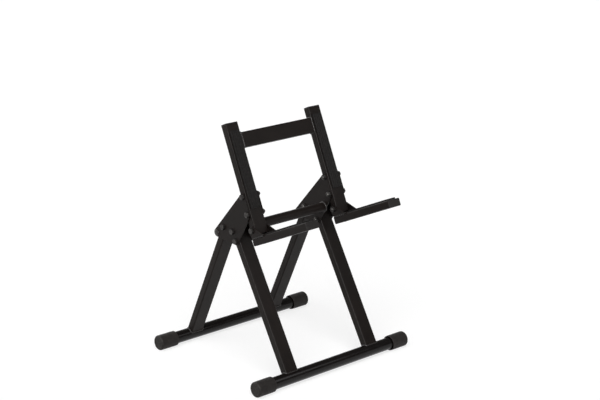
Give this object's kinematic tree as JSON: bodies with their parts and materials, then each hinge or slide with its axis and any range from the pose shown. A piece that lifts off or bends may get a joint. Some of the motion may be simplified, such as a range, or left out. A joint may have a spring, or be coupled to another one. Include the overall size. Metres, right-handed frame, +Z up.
{
  "type": "folding amp stand",
  "caption": "Folding tilt-back stand for an amplifier: A-shaped rectangular-tube legs on round foot bars with rubber caps, hinged seat arms and padded back posts.",
  "frame": {"origin": "on the floor, at the middle of the stand's outline in X and Y", "axes": "+Z up, -Y to the front, where the seat arms point, +X to the right as seen from the front"},
  "size_m": [0.517, 0.4882, 0.6306],
  "materials": {
    "powder_coat": "satin black powder coat",
    "foot_bar_gloss": "gloss black enamel",
    "cap_rubber": "matte moulded black rubber",
    "pad_rubber": "ribbed black rubber",
    "plug_plastic": "moulded black plastic",
    "black_steel": "black oxide",
    "bush_nylon": "natural nylon"
  },
  "bodies": {
    "root": {"front_foot_bar": "foot_bar_gloss", "front_foot_cap_left": "cap_rubber", "front_foot_cap_right": "cap_rubber", "upper_crossbar": "powder_coat", "lower_cross_tube": "powder_coat", "front_leg_left": "powder_coat", "front_leg_plug_left": "plug_plastic", "back_post_left": "powder_coat", "back_post_plug_left": "plug_plastic", "back_pad_left": "pad_rubber", "hub_plate_left_outer": "powder_coat", "hub_plate_left_inner": "powder_coat", "frame_bolt_left_1": "black_steel", "frame_bolt_left_2": "black_steel", "frame_bolt_left_3": "black_steel", "frame_bolt_left_4": "black_steel", "pivot_bolt_left": "black_steel", "pivot_nut_left": "black_steel", "arm_hinge_bolt_left": "black_steel", "arm_hinge_nut_left": "black_steel", "stop_pin_left": "black_steel", "front_leg_right": "powder_coat", "front_leg_plug_right": "plug_plastic", "back_post_right": "powder_coat", "back_post_plug_right": "plug_plastic", "back_pad_right": "pad_rubber", "hub_plate_right_outer": "powder_coat", "hub_plate_right_inner": "powder_coat", "frame_bolt_right_1": "black_steel", "frame_bolt_right_2": "black_steel", "frame_bolt_right_3": "black_steel", "frame_bolt_right_4": "black_steel", "pivot_bolt_right": "black_steel", "pivot_nut_right": "black_steel", "arm_hinge_bolt_right": "black_steel", "arm_hinge_nut_right": "black_steel", "stop_pin_right": "black_steel"},
    "rear_frame": {"rear_foot_bar": "foot_bar_gloss", "rear_foot_cap_left": "cap_rubber", "rear_foot_cap_right": "cap_rubber", "rear_leg_left": "powder_coat", "rear_leg_plug_left": "plug_plastic", "pivot_bush_left": "bush_nylon", "rear_leg_right": "powder_coat", "rear_leg_plug_right": "plug_plastic", "pivot_bush_right": "bush_nylon"},
    "seat_arm_left": {"seat_arm_left": "powder_coat", "seat_arm_front_plug_left": "plug_plastic", "seat_arm_rear_plug_left": "plug_plastic", "seat_pad_left": "pad_rubber", "arm_bracket_left": "powder_coat"},
    "seat_arm_right": {"seat_arm_right": "powder_coat", "seat_arm_front_plug_right": "plug_plastic", "seat_arm_rear_plug_right": "plug_plastic", "seat_pad_right": "pad_rubber", "arm_bracket_right": "powder_coat"}
  },
  "joints": [
    {"name": "rear_frame_fold", "type": "hinge", "parent": "root", "child": "rear_frame", "pos_m": [0, 0.06908, 0.36], "axis": [-1, 0, 0], "range_deg": [0, 55]},
    {"name": "seat_arm_left_fold", "type": "hinge", "parent": "root", "child": "seat_arm_left", "pos_m": [-0.1385, -0.04295, 0.37825], "axis": [-1, 0, 0], "range_deg": [0, 90]},
    {"name": "seat_arm_right_fold", "type": "hinge", "parent": "root", "child": "seat_arm_right", "pos_m": [0.1385, -0.04295, 0.37825], "axis": [-1, 0, 0], "range_deg": [0, 90]}
  ]
}
